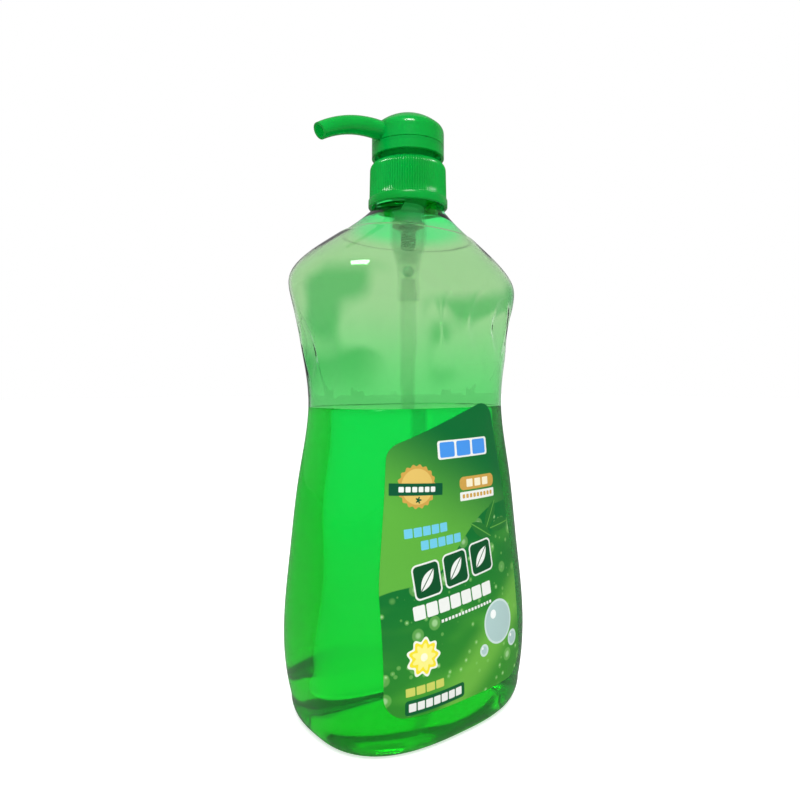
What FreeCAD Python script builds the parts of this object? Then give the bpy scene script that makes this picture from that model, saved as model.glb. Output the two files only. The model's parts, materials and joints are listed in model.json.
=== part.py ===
import FreeCAD, Part
import math
import os
import Sketcher
from FreeCAD import Matrix, Placement, Rotation, Vector

# Dish soap bottle: a waisted clear bottle with grip flutes, its liquid and label, a screw closure
# and a lotion pump that is locked down. Millimetres, +Z up, the origin at the middle of the foot.
# The label is on the front, at -Y, and the spout points to -X.

# Driving sizes, by the piece that they belong to.
SIZES = {
    # Bottle: wall, heel and base
    "wall": 1.0,
    "heel_height": 12.0,
    "heel_inset": 8.0,
    "pushup_height": 5.5,
    "foot_ring": 8.0,
    "squareness": 2.7,
    # Bottle: sections, each its rise above the one below, its width and its depth
    "heel_width": 109.2,
    "heel_depth": 83.0,
    "belly_rise": 24.0,
    "belly_width": 117.0,
    "belly_depth": 83.8,
    "middle_rise": 40.0,
    "middle_width": 113.2,
    "middle_depth": 75.8,
    "upper_rise": 36.0,
    "upper_width": 104.4,
    "upper_depth": 70.8,
    "waist_rise": 34.0,
    "waist_width": 95.6,
    "waist_depth": 66.4,
    "grip_rise": 24.0,
    "grip_width": 103.4,
    "grip_depth": 67.8,
    "chest_rise": 22.0,
    "chest_width": 114.2,
    "chest_depth": 68.6,
    "shoulder_rise": 9.0,
    "shoulder_width": 116.4,
    "shoulder_depth": 69.0,
    "brow_rise": 8.0,
    "brow_width": 105.4,
    "brow_depth": 64.4,
    "slope_rise": 13.0,
    "slope_width": 70.0,
    "slope_depth": 50.4,
    "collar_rise": 10.0,
    "collar_width": 43.4,
    "collar_depth": 37.4,
    "root_rise": 6.0,
    "root_width": 31.8,
    # Bottle: shoulder line, grip flutes and neck
    "shoulder_line_step": 0.5,
    "flute_count": 18,
    "flute_depth": 0.9,
    "flute_ridge": 1.3,
    "flute_roundness": 4.0,
    "flute_crown": 52.0,
    "flute_foot": 10.0,
    "flute_slant": 0.33,
    "flute_side_crown": 31.0,
    "flute_side_foot": -1.0,
    "neck_radius": 15.4,
    "neck_bore": 13.7,
    "neck_height": 15.6,
    "neck_bead_radius": 16.4,
    "neck_bead_height": 1.5,
    "neck_bead_rise": 3.0,
    # Liquid
    "fill_height": 142.5,
    "liquid_gap": 0.15,
    "tube_channel_gap": 0.3,
    # Front label
    "label_film": 0.15,
    "label_glue": 0.05,
    "label_centre": -2.0,
    "label_width": 76.8,
    "label_bottom": 18.4,
    "label_side_height": 70.0,
    "label_top_left": -34.2,
    "label_top_left_height": 126.4,
    "label_top_right": 23.0,
    "label_top_right_height": 146.6,
    "label_corner": 10.0,
    "label_side_bend": 90.0,
    # Fits
    "slide_fit": 0.08,
    "press_gap": 0.05,
    "seat_gap": 0.3,
    # Closure
    "closure_height": 21.0,
    "closure_bead_radius": 19.0,
    "closure_bead_height": 3.7,
    "closure_foot_radius": 18.5,
    "closure_top_radius": 18.2,
    "closure_rounding": 3.5,
    "closure_bore": 16.9,
    "closure_plate": 1.9,
    "closure_lip": 1.4,
    "rib_count": 96,
    "rib_depth": 0.4,
    # Pump housing and gasket
    "gasket_height": 0.8,
    "gasket_bore": 13.0,
    "flange_radius": 15.8,
    "flange_height": 1.2,
    "housing_bore": 7.85,
    "housing_wall": 1.0,
    "housing_top_rise": 6.4,
    "snap_radius": 11.7,
    "snap_wall": 1.0,
    "snap_height": 4.4,
    "cylinder_drop": 34.4,
    "cone_drop": 10.0,
    "foot_drop": 7.0,
    "foot_inner_radius": 4.75,
    "socket_length": 10.0,
    "socket_wall": 1.4,
    "valve_hole": 1.8,
    "valve_land": 1.6,
    # Chaplet
    "ring_radius": 17.3,
    "ring_wall": 1.3,
    "ring_height": 5.3,
    "ring_gap": 2.6,
    "sleeve_wall": 1.2,
    "guide_wall": 1.4,
    "guide_drop": 7.9,
    # Dip tube, balls and retainer
    "tube_radius": 3.5,
    "tube_bore": 2.6,
    "tube_foot_gap": 3.0,
    "tube_foot_angle": 30.0,
    "inlet_ball_radius": 2.8,
    "outlet_ball_radius": 2.2,
    "ball_gap": 0.05,
    "inlet_ball_lift": 1.4,
    "retainer_tube": 4.6,
    "retainer_bore": 2.6,
    "retainer_length": 6.0,
    "retainer_plate": 1.0,
    "retainer_slot": 1.4,
    "retainer_slot_height": 2.2,
    # Spring
    "spring_radius": 3.25,
    "spring_wire": 0.9,
    "spring_turns": 7.0,
    "spring_length": 9.0,
    # Piston, its seat and the stem
    "pilot_radius": 2.45,
    "pilot_length": 3.0,
    "seat_plate_radius": 5.2,
    "seat_plate": 1.5,
    "spigot_length": 5.5,
    "seat_hole": 1.2,
    "seat_mouth": 1.0,
    "stem_radius": 4.5,
    "stem_bore": 2.6,
    "stem_length": 40.5,
    "stem_collar_rise": 9.5,
    "stem_collar_radius": 6.0,
    "stem_collar_height": 1.0,
    "piston_height": 8.4,
    "piston_lip": 1.2,
    "piston_waist": 6.6,
    # Pump head
    "head_radius": 17.3,
    "head_wall": 1.4,
    "head_side": 7.8,
    "head_dome": 7.5,
    "head_rounding": 4.5,
    "head_tube_wall": 1.35,
    "head_tube_drop": 18.2,
    "chamber_radius": 3.4,
    "chamber_height": 6.0,
    "spout_radius": 4.4,
    "spout_tip_radius": 3.7,
    "spout_bore": 2.8,
    "spout_tip_bore": 2.6,
    "spout_straight": 20.0,
    "spout_bend": 54.0,
    "spout_drop_angle": 32.2,
}

# How finely the bottle's skin is lofted.
SECTION_POINTS = 24
HEEL_STEPS = 4

# Sections of a flute's tool: their places along it, the points of each, and how the ends close.
FLUTE_PLACES = [-1.0, -0.92, -0.7, -0.3, 0.3, 0.7, 0.92, 1.0]
FLUTE_POINTS = 12
END_CLEARANCE = 0.3
END_SHARE = 0.3

# Sides of the spring wire's section, which stand for its round.
WIRE_SIDES = 8

doc = FreeCAD.newDocument("soap_bottle")
sheet = doc.addObject("Spreadsheet::Sheet", "Sizes")
for line, (alias, amount) in enumerate(SIZES.items(), start=1):
    sheet.set("A%d" % line, alias.replace("_", " "))
    sheet.set("B%d" % line, str(amount))
    sheet.setAlias("B%d" % line, alias)
doc.recompute()


class Size:
    """A length or count with the sheet expression that it comes from, for binding and for reckoning."""

    def __init__(self, text, value):
        self.text = text
        self.value = value

    def joined(self, sign, other, value):
        return Size("(%s %s %s)" % (self.text, sign, other.text), value)

    def __add__(self, other):
        other = as_size(other)
        return self.joined("+", other, self.value + other.value)

    def __sub__(self, other):
        other = as_size(other)
        return self.joined("-", other, self.value - other.value)

    def __mul__(self, other):
        other = as_size(other)
        return self.joined("*", other, self.value * other.value)

    def __truediv__(self, other):
        other = as_size(other)
        return self.joined("/", other, self.value / other.value)


def as_size(amount):
    return amount if isinstance(amount, Size) else Size(str(amount), float(amount))


def dim(alias):
    return Size("Sizes." + alias, float(sheet.get(alias)))


def bind(thing, prop, size):
    thing.setExpression(prop, as_size(size).text)


def add(kind, name, **sizes):
    """A primitive or boolean of the document, with its sizes bound to the sheet."""
    thing = doc.addObject(kind, name)
    for prop, size in sizes.items():
        bind(thing, prop, size)
    return thing


def lift(thing, height, across=None):
    """Bind the height, and the place along X, of a thing's placement."""
    bind(thing, "Placement.Base.z", height)
    if across is not None:
        bind(thing, "Placement.Base.x", across)
    return thing


def cylinder(name, radius, height, base):
    return lift(add("Part::Cylinder", name, Radius=radius, Height=height), base)


def fused(name, pieces):
    whole = doc.addObject("Part::MultiFuse", name)
    whole.Shapes = pieces
    return whole


def cut(name, base, tool):
    rest = doc.addObject("Part::Cut", name)
    rest.Base = base
    rest.Tool = tool
    return rest


def common(name, pieces):
    shared = doc.addObject("Part::MultiCommon", name)
    shared.Shapes = pieces
    return shared


def set_shape(name, shape):
    """A piece of free form, whose shape is reckoned below from the sheet's sizes."""
    piece = doc.addObject("Part::Feature", name)
    piece.Shape = shape
    return piece


def turned(name, outline, base, arcs=()):
    """A body of revolution about Z. The outline is (radius, height) corners above base, and the runs
    whose numbers are in arcs are arcs that are centred on the axis, each bulging upwards."""
    body = doc.addObject("PartDesign::Body", name)
    body.Label = name
    sketch = body.newObject("Sketcher::SketchObject", name + "_section")
    plane = [item for item in body.Origin.OriginFeatures if item.Role == "XZ_Plane"][0]
    sketch.AttachmentSupport = (plane, "")
    sketch.MapMode = "FlatFace"
    corners = [(as_size(radius), as_size(height)) for radius, height in outline]
    points = [Vector(radius.value, height.value, 0) for radius, height in corners]
    count = len(points)
    for run in range(count):
        start = points[run]
        end = points[(run + 1) % count]
        if run in arcs:
            centre_height = (start.y ** 2 + start.x ** 2 - end.y ** 2 - end.x ** 2) / (2 * (start.y - end.y))
            arc_radius = math.hypot(start.x, start.y - centre_height)
            middle_angle = 0.5 * (
                math.atan2(start.y - centre_height, start.x) + math.atan2(end.y - centre_height, end.x)
            )
            middle = Vector(
                arc_radius * math.cos(middle_angle), centre_height + arc_radius * math.sin(middle_angle), 0
            )
            sketch.addGeometry(Part.Arc(start, middle, end), False)
        else:
            sketch.addGeometry(Part.LineSegment(start, end), False)
    for run in range(count):
        following = (run + 1) % count
        # An arc that runs towards the axis keeps its direction, so its end is the next run's start.
        sketch.addConstraint(Sketcher.Constraint("Coincident", run, 2, following, 1))
        if run in arcs:
            sketch.addConstraint(Sketcher.Constraint("PointOnObject", run, 3, -2))
    for run, (radius, height) in enumerate(corners):
        if radius.value == 0:
            sketch.addConstraint(Sketcher.Constraint("PointOnObject", run, 1, -2))
        else:
            sketch.addConstraint(Sketcher.Constraint("DistanceX", -1, 1, run, 1, radius.value))
            sketch.renameConstraint(sketch.ConstraintCount - 1, "radius_%d" % run)
            bind(sketch, "Constraints.radius_%d" % run, radius)
        if height.value == 0:
            sketch.addConstraint(Sketcher.Constraint("PointOnObject", run, 1, -1))
        else:
            sketch.addConstraint(Sketcher.Constraint("DistanceY", -1, 1, run, 1, height.value))
            sketch.renameConstraint(sketch.ConstraintCount - 1, "height_%d" % run)
            bind(sketch, "Constraints.height_%d" % run, height)
    turn = body.newObject("PartDesign::Revolution", name + "_turn")
    turn.Profile = sketch
    turn.ReferenceAxis = (sketch, ["V_Axis"])
    turn.Angle = 360.0
    body.Tip = turn
    lift(body, base)
    return body


def rounded(body, rounding, radius, height):
    """Round the circular edge of a turned body that lies at this radius and height in the body."""
    doc.recompute()
    turn = body.Tip
    names = []
    for number, edge in enumerate(turn.Shape.Edges, start=1):
        if edge.Degenerated:
            continue
        ring = isinstance(edge.Curve, Part.Circle) and abs(edge.Curve.Radius - radius.value) < 0.01
        if ring and abs(edge.BoundBox.ZMin - height.value) < 0.01 and edge.BoundBox.ZLength < 0.01:
            names.append("Edge%d" % number)
    fillet = body.newObject("PartDesign::Fillet", body.Name + "_rounding")
    fillet.Base = (turn, names)
    bind(fillet, "Radius", rounding)
    body.Tip = fillet


# Heights of the bottle's sections and of what stands on its neck.
SECTIONS = ["belly", "middle", "upper", "waist", "grip", "chest", "shoulder", "brow", "slope", "collar", "root"]
heights = {"heel": dim("heel_height")}
below = "heel"
for section in SECTIONS:
    heights[section] = heights[below] + dim(section + "_rise")
    below = section
neck_root = heights["root"]
neck_top = neck_root + dim("neck_height")
flange_under = neck_top + dim("gasket_height")
flange_top = flange_under + dim("flange_height")
closure_top = flange_top + dim("seat_gap") + dim("closure_plate")
closure_foot = closure_top - dim("closure_height")
ring_foot = closure_top + dim("ring_gap")
ring_top = ring_foot + dim("ring_height")
head_rim = ring_top + dim("seat_gap")
housing_top = flange_top + dim("housing_top_rise")
cylinder_foot = flange_under - dim("cylinder_drop")
cone_foot = cylinder_foot - dim("cone_drop")
socket_top = cone_foot - dim("foot_drop")
housing_foot = socket_top - dim("socket_length")
sleeve_radius = dim("snap_radius") + dim("press_gap") + dim("press_gap") + dim("sleeve_wall")


# Outer skin of the bottle as rows of superellipses, from two flank curves.
def flank_curve():
    points = []
    levels = []
    for section in ["heel"] + SECTIONS:
        level = heights[section].value
        width = dim(section + "_width").value
        depth = dim("root_width" if section == "root" else section + "_depth").value
        points.append(Vector(width / 2, depth / 2, level))
        levels.append(level)
    curve = Part.BSplineCurve()
    curve.interpolate(Points=points, Parameters=levels)
    return curve, levels


FLANK, LEVELS = flank_curve()
LINE_LEVEL = heights["slope"].value


def squareness_at(level):
    """The sections are squarish up to the chest and become round at the neck."""
    share = (level - heights["chest"].value) / (neck_root.value - heights["chest"].value)
    share = min(max(share, 0.0), 1.0)
    return dim("squareness").value * (1 - share) + 2.0 * share


def rows(inset, step_in=0.0):
    """Height, half width, half depth and squareness of each row, moved inwards by inset and, from the
    shoulder's line upwards, by step_in as well."""
    found = []
    heel = heights["heel"].value
    heel_inset = dim("heel_inset").value
    foot = FLANK.value(heel)
    for step in range(HEEL_STEPS):
        turn = 0.5 * math.pi * step / HEEL_STEPS
        reach = heel_inset * (1 - math.sin(turn))
        outward = heel * math.sin(turn)
        downward = heel_inset * math.cos(turn)
        length = math.hypot(outward, downward)
        move = inset * outward / length
        level = heel * (1 - math.cos(turn)) + inset * downward / length
        found.append((level, foot.x - reach - move, foot.y - reach - move, dim("squareness").value))
    for level in LEVELS:
        point = FLANK.value(level)
        slope_vector = FLANK.getD1(level)[1]
        slope = 0.5 * (slope_vector.x + slope_vector.y) / slope_vector.z
        length = math.hypot(1.0, slope)
        whole = inset + (step_in if level > LINE_LEVEL - 0.001 else 0.0)
        move = whole / length
        found.append((level + whole * slope / length, point.x - move, point.y - move, squareness_at(level)))
    return found


def on_section(half_width, half_depth, power, angle, level):
    """Point of a superellipse section at this angle, with even spacing in angle."""
    across = math.cos(angle)
    along = math.sin(angle)
    reach = (abs(across) ** power + abs(along) ** power) ** (-1.0 / power)
    return Vector(half_width * reach * across, half_depth * reach * along, level)


def skinned(rings):
    """A solid with one smooth skin through rings of points, closed by flat ends."""
    curves = []
    for points in rings:
        curve = Part.BSplineCurve()
        steps = [float(step) for step in range(len(points) + 1)]
        curve.interpolate(Points=points, PeriodicFlag=True, Parameters=steps)
        curves.append(curve)
    climb = [0.0]
    for low, high in zip(rings, rings[1:]):
        climb.append(climb[-1] + low[0].distanceToPoint(high[0]))
    columns = []
    for poles in zip(*[curve.getPoles() for curve in curves]):
        column = Part.BSplineCurve()
        column.interpolate(Points=list(poles), Parameters=climb)
        columns.append(column)
    surface = Part.BSplineSurface()
    surface.buildFromPolesMultsKnots(
        [column.getPoles() for column in columns],
        curves[0].getMultiplicities(),
        columns[0].getMultiplicities(),
        curves[0].getKnots(),
        columns[0].getKnots(),
        True,
        False,
        curves[0].Degree,
        columns[0].Degree,
    )
    side = surface.toShape()
    ends = [edge for edge in side.Edges if edge.BoundBox.ZLength < 0.01]
    shell = Part.Shell([side] + [Part.Face(Part.Wire([edge])) for edge in ends])
    shell.sewShape()
    solid = Part.Solid(shell)
    if solid.Volume < 0:
        solid.reverse()
    return solid


def lofted(found):
    """A solid through the rows of sections."""
    angles = [2 * math.pi * step / SECTION_POINTS for step in range(SECTION_POINTS)]
    return skinned([[on_section(wide, deep, power, angle, level) for angle in angles]
                    for level, wide, deep, power in found])


def pushup(extra):
    """The dome under the base, larger by extra."""
    foot = FLANK.value(heights["heel"].value)
    edge = dim("heel_inset").value + dim("foot_ring").value
    spread = Matrix()
    spread.scale(foot.x - edge + extra, foot.y - edge + extra, dim("pushup_height").value + extra)
    return Part.makeSphere(1.0).transformGeometry(spread)


def skin_point(angle, level):
    point = FLANK.value(level)
    return on_section(point.x, point.y, squareness_at(level), angle, level)


def even_angles(level, count):
    """Angles that divide the section's girth evenly, the first at the middle of the front."""
    fine = 720
    start = -0.5 * math.pi
    trail = [skin_point(start + 2 * math.pi * step / fine, level) for step in range(fine + 1)]
    girth = [0.0]
    for first, second in zip(trail, trail[1:]):
        girth.append(girth[-1] + first.distanceToPoint(second))
    found = []
    step = 0
    for number in range(count):
        while girth[step] < girth[-1] * number / count:
            step += 1
        found.append(start + 2 * math.pi * step / fine)
    return found, girth[-1]


def flute_cutters(inset):
    """Long shallow tools that follow the flank and sink the grip flutes, moved inwards by inset."""
    waist = heights["waist"].value
    middle = waist + 0.5 * dim("flute_crown").value
    count = int(dim("flute_count").value)
    angles, girth = even_angles(middle, count)
    half_width = 0.5 * girth / count - 0.5 * dim("flute_ridge").value
    depth = dim("flute_depth").value
    roundness = dim("flute_roundness").value
    shown = math.sqrt(1 - ((roundness - depth) / roundness) ** 2)
    cutters = []
    for angle in angles:
        point = skin_point(angle, middle)
        facing = -math.sin(angle)
        share = abs(facing)
        crown = dim("flute_side_crown").value * (1 - share) + dim("flute_crown").value * share
        foot = dim("flute_side_foot").value * (1 - share) + dim("flute_foot").value * share
        foot += dim("flute_slant").value * point.x * facing
        rings = []
        for place in FLUTE_PLACES:
            level = waist + 0.5 * (crown + foot) + 0.5 * (crown - foot) * place
            fullness = math.sqrt(1 - place * place)
            side = (skin_point(angle + 0.02, level) - skin_point(angle - 0.02, level)).normalize()
            out = side.cross(Vector(0, 0, 1))
            sink = (depth + END_CLEARANCE) * fullness - END_CLEARANCE
            centre = skin_point(angle, level) + out * (roundness - sink - inset)
            width = half_width / shown * (END_SHARE + (1 - END_SHARE) * fullness)
            turns = [2 * math.pi * step / FLUTE_POINTS for step in range(FLUTE_POINTS)]
            rings.append([centre + side * (width * math.cos(t)) + out * (roundness * math.sin(t)) for t in turns])
        cutters.append(skinned(rings))
    return cutters


def bottle_skin():
    """The outside of the bottle below its neck, which steps in above the shoulder's line."""
    reach = dim("belly_width").value
    above = Part.makeBox(
        2 * reach, 2 * reach, neck_root.value - LINE_LEVEL, Vector(-reach, -reach, LINE_LEVEL)
    )
    stepped = lofted(rows(0.0, dim("shoulder_line_step").value))
    skin = lofted(rows(0.0)).cut(above.cut(stepped))
    return skin.cut(pushup(0.0)).cut(flute_cutters(0.0))


def hollow(inset):
    """The room inside the bottle below its neck, at this inset from the skin, before the flutes."""
    return lofted(rows(inset, dim("shoulder_line_step").value)).cut(pushup(inset))


wall = dim("wall")
skin_piece = set_shape("bottle_skin", bottle_skin())
cavity_piece = set_shape("bottle_cavity", hollow(wall.value).cut(flute_cutters(wall.value)))

# Bottle: the skin with its neck, less the hollow.
neck_start = neck_root - dim("root_rise") * 0.5
neck = cylinder("neck_tube", dim("neck_radius"), neck_top - neck_start, neck_start)
neck_bead = cylinder(
    "neck_bead", dim("neck_bead_radius"), dim("neck_bead_height"), neck_root + dim("neck_bead_rise")
)
neck_hole = cylinder("neck_hole", dim("neck_bore"), neck_top - neck_start + 1, neck_start)
bottle = cut(
    "bottle",
    fused("bottle_outside", [skin_piece, neck, neck_bead]),
    fused("bottle_inside", [cavity_piece, neck_hole]),
)

# Liquid: the hollow up to the fill height, with a channel that the dip tube slides in.
tube_foot = dim("pushup_height") + wall + dim("tube_foot_gap")
channel_radius = dim("tube_radius") + dim("tube_channel_gap")
core_radius = dim("tube_bore") - dim("tube_channel_gap")
liquid_body = set_shape("liquid_body", hollow(wall.value + dim("liquid_gap").value))
liquid_below = lift(
    add(
        "Part::Box",
        "liquid_below",
        Length=dim("belly_width") * 2,
        Width=dim("belly_width") * 2,
        Height=dim("fill_height"),
    ),
    0,
    dim("belly_width") * -1,
)
bind(liquid_below, "Placement.Base.y", dim("belly_width") * -1)
channel_foot = tube_foot - dim("tube_channel_gap")
channel = cut(
    "tube_channel",
    cylinder("channel_outer", channel_radius, dim("fill_height"), channel_foot),
    cylinder("channel_core", core_radius, dim("fill_height"), channel_foot),
)
detergent = cut("detergent", common("liquid_level", [liquid_body, liquid_below]), channel)


# Front label: a film on the front panel, cut to a rounded outline with a slanted upper edge.
def rounded_outline(corners, depth):
    """A closed wire in the XZ plane at Y = -depth through corners of (x, z, rounding)."""
    edges = []
    last = None
    first = None
    count = len(corners)
    places = [Vector(x, -depth, z) for x, z, rounding in corners]
    for number in range(count):
        here = places[number]
        back = (places[number - 1] - here).normalize()
        ahead = (places[(number + 1) % count] - here).normalize()
        half = 0.5 * back.getAngle(ahead)
        rounding = corners[number][2]
        reach = rounding / math.tan(half)
        start = here + back * reach
        end = here + ahead * reach
        centre = here + (back + ahead).normalize() * (rounding / math.sin(half))
        middle = centre + (here - centre).normalize() * rounding
        if last is not None:
            edges.append(Part.LineSegment(last, start).toShape())
        first = first or start
        edges.append(Part.Arc(start, middle, end).toShape())
        last = end
    edges.append(Part.LineSegment(last, first).toShape())
    return Part.Wire(edges)


def label_film():
    centre = dim("label_centre").value
    half = dim("label_width").value / 2
    low = dim("label_bottom").value
    side = dim("label_side_height").value
    corner = dim("label_corner").value
    bend = dim("label_side_bend").value
    corners = [
        (centre - half, low, corner),
        (centre + half, low, corner),
        (centre + half, side, bend),
        (dim("label_top_right").value, dim("label_top_right_height").value, corner * 0.8),
        (dim("label_top_left").value, dim("label_top_left_height").value, corner * 0.8),
        (centre - half, side, bend),
    ]
    depth = dim("belly_depth").value
    prism = Part.Face(rounded_outline(corners, depth)).extrude(Vector(0, depth, 0))
    glue = dim("label_glue").value
    outer = lofted(rows(-glue - dim("label_film").value))
    inner = lofted(rows(-glue))
    return outer.common(prism).cut(inner)


front_label = set_shape("front_label", label_film())

# Closure: a turned cap with a plain bead at its foot and fine ribs above it.
bead_radius = dim("closure_bead_radius")
bead_height = dim("closure_bead_height")
plate_under = dim("closure_height") - dim("closure_plate")
bead_inside = bead_radius - dim("closure_lip")
closure_turned = turned(
    "closure_turned",
    [
        (bead_inside, 0),
        (bead_radius, 0),
        (bead_radius, bead_height),
        (dim("closure_foot_radius"), bead_height),
        (dim("closure_top_radius"), dim("closure_height")),
        (sleeve_radius + dim("seat_gap"), dim("closure_height")),
        (sleeve_radius + dim("seat_gap"), plate_under),
        (dim("closure_bore"), plate_under),
        (dim("closure_bore"), bead_height),
        (bead_inside, bead_height),
    ],
    closure_foot,
)
rounded(closure_turned, dim("closure_rounding"), dim("closure_top_radius"), dim("closure_height"))


def rib_grooves():
    """The ring outside a ribbed cone: what it cuts from the cap's side leaves the ribs standing."""
    count = int(dim("rib_count").value)
    side = dim("closure_height").value - bead_height.value
    low = closure_foot.value + bead_height.value
    high = closure_top.value - dim("closure_rounding").value
    rings = []
    for level in (low, high):
        share = (level - low) / side
        crest = dim("closure_foot_radius").value * (1 - share) + dim("closure_top_radius").value * share
        corners = []
        for number in range(2 * count):
            reach = crest - (number % 2) * dim("rib_depth").value
            angle = math.pi * number / count
            corners.append(Vector(reach * math.cos(angle), reach * math.sin(angle), level))
        rings.append(Part.makePolygon(corners + corners[:1]))
    star = Part.makeLoft(rings, True, True)
    ring = Part.makeCylinder(bead_radius.value + 1, high - low, Vector(0, 0, low))
    return ring.cut(star)


closure = cut("closure", closure_turned, set_shape("rib_grooves", rib_grooves()))

# Pump housing: cylinder with a flange, a snap ring above it and a stepped foot.
housing_bore = dim("housing_bore")
cylinder_radius = housing_bore + dim("housing_wall")
foot_inner = dim("foot_inner_radius")
foot_outer = foot_inner + dim("housing_wall")
socket_inner = dim("tube_radius") + dim("press_gap")
socket_outer = socket_inner + dim("socket_wall")
land_top = dim("socket_length") + dim("valve_land")
cone_low = dim("socket_length") + dim("foot_drop")
cone_high = cone_low + dim("cone_drop")
flange_low = flange_under - housing_foot
flange_high = flange_top - housing_foot
snap_top = flange_high + dim("snap_height")
snap_inner = dim("snap_radius") - dim("snap_wall")
pump_housing = turned(
    "pump_housing",
    [
        (socket_inner, 0),
        (socket_outer, 0),
        (socket_outer, dim("socket_length")),
        (foot_outer, cone_low),
        (cylinder_radius, cone_high),
        (cylinder_radius, flange_low),
        (dim("flange_radius"), flange_low),
        (dim("flange_radius"), flange_high),
        (dim("snap_radius"), flange_high),
        (dim("snap_radius"), snap_top),
        (snap_inner, snap_top),
        (snap_inner, flange_high),
        (cylinder_radius, flange_high),
        (cylinder_radius, housing_top - housing_foot),
        (housing_bore, housing_top - housing_foot),
        (housing_bore, cone_high),
        (foot_inner, cone_low),
        (foot_inner, land_top + foot_inner - dim("valve_hole")),
        (dim("valve_hole"), land_top),
        (dim("valve_hole"), dim("socket_length")),
        (socket_inner, dim("socket_length")),
    ],
    housing_foot,
)

gasket = turned(
    "gasket",
    [
        (dim("gasket_bore"), 0),
        (dim("neck_radius"), 0),
        (dim("neck_radius"), dim("gasket_height")),
        (dim("gasket_bore"), dim("gasket_height")),
    ],
    neck_top,
)

# Chaplet: inverted cup with a sleeve over the snap ring and a guide for the head's tube.
head_tube_bore = dim("stem_radius") + dim("press_gap")
head_tube_radius = head_tube_bore + dim("head_tube_wall")
guide_bore = head_tube_radius + dim("slide_fit")
guide_outer = guide_bore + dim("guide_wall")
sleeve_bore = sleeve_radius - dim("sleeve_wall")
cup_top = ring_top - flange_top
cup_under = cup_top - dim("ring_wall")
cup_foot = ring_foot - flange_top
ring_inner = dim("ring_radius") - dim("ring_wall")
chaplet = turned(
    "chaplet",
    [
        (sleeve_bore, 0),
        (sleeve_radius, 0),
        (sleeve_radius, cup_under),
        (ring_inner, cup_under),
        (ring_inner, cup_foot),
        (dim("ring_radius"), cup_foot),
        (dim("ring_radius"), cup_top),
        (guide_bore, cup_top),
        (guide_bore, cup_top - dim("guide_drop")),
        (guide_outer, cup_top - dim("guide_drop")),
        (guide_outer, cup_under),
        (sleeve_bore, cup_under),
    ],
    flange_top,
)

# Dip tube, with its lower end cut at an angle.
tube_length = socket_top - tube_foot
tube_wall = cut(
    "tube_wall",
    cylinder("tube_outer", dim("tube_radius"), tube_length, tube_foot),
    cylinder("tube_inner", dim("tube_bore"), tube_length, tube_foot),
)
angle_text = "Sizes.tube_foot_angle * 1 deg"
foot_cut = add(
    "Part::Box",
    "tube_foot_cut",
    Length=dim("tube_radius") * 4,
    Width=dim("tube_radius") * 4,
    Height=dim("tube_radius") * 4,
)
foot_cut.Placement.Rotation = Rotation(Vector(0, 1, 0), -1)
foot_cut.setExpression("Placement.Rotation.Angle", angle_text)
foot_cut.setExpression("Placement.Base.x", "-Sizes.tube_radius - 4 * Sizes.tube_radius * sin(%s)" % angle_text)
bind(foot_cut, "Placement.Base.y", dim("tube_radius") * -2)
foot_cut.setExpression("Placement.Base.z", "%s - 4 * Sizes.tube_radius * cos(%s)" % (tube_foot.text, angle_text))
dip_tube = cut("dip_tube", tube_wall, foot_cut)

# Inlet valve: a ball on the conical seat, kept in by the spring's seat.
ROOT_TWO = math.sqrt(2)
inlet_apex = housing_foot + land_top - dim("valve_hole")
inlet_centre = inlet_apex + dim("inlet_ball_radius") * ROOT_TWO + dim("ball_gap")
inlet_ball = lift(add("Part::Sphere", "inlet_ball", Radius=dim("inlet_ball_radius")), inlet_centre)
retainer_foot = inlet_centre + dim("inlet_ball_radius") + dim("inlet_ball_lift")
retainer_under = dim("retainer_length") - dim("retainer_plate")
cone_share = (retainer_foot + retainer_under - housing_foot - cone_low) / dim("cone_drop")
retainer_radius = foot_inner + (housing_bore - foot_inner) * cone_share - dim("slide_fit")
retainer_turned = turned(
    "retainer_turned",
    [
        (dim("retainer_bore"), 0),
        (dim("retainer_tube"), 0),
        (dim("retainer_tube"), retainer_under),
        (retainer_radius, retainer_under),
        (retainer_radius, dim("retainer_length")),
        (dim("retainer_bore"), dim("retainer_length")),
    ],
    retainer_foot,
)
slot = lift(
    add(
        "Part::Box",
        "retainer_slot_cut",
        Length=dim("retainer_tube") * 4,
        Width=dim("retainer_slot"),
        Height=dim("retainer_slot_height"),
    ),
    retainer_foot,
    dim("retainer_tube") * -2,
)
bind(slot, "Placement.Base.y", dim("retainer_slot") * -0.5)
ball_retainer = cut("ball_retainer", retainer_turned, slot)

# Spring: close turns between the retainer and the piston's seat, with ground ends.
spring_foot = retainer_foot + dim("retainer_length") + dim("ball_gap")
spring_top = spring_foot + dim("spring_length")


def coil():
    wire_radius = dim("spring_wire").value / 2
    radius = dim("spring_radius").value
    turns = dim("spring_turns").value
    length = dim("spring_length").value
    pitch = length / turns
    helix = Part.makeHelix(pitch, pitch * (turns + 1), radius)
    angles = [2 * math.pi * step / WIRE_SIDES for step in range(WIRE_SIDES + 1)]
    corners = [
        Vector(radius + wire_radius * math.cos(angle), 0, wire_radius * math.sin(angle)) for angle in angles
    ]
    start = Part.makePolygon(corners)
    path = Part.Wire(helix.Edges)
    turns_solid = path.makePipeShell([start], True, True)
    turns_solid.translate(Vector(0, 0, spring_foot.value - pitch / 2))
    room = Part.makeCylinder(2 * radius, length, Vector(0, 0, spring_foot.value))
    return turns_solid.common(room)


spring = set_shape("spring", coil())

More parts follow.
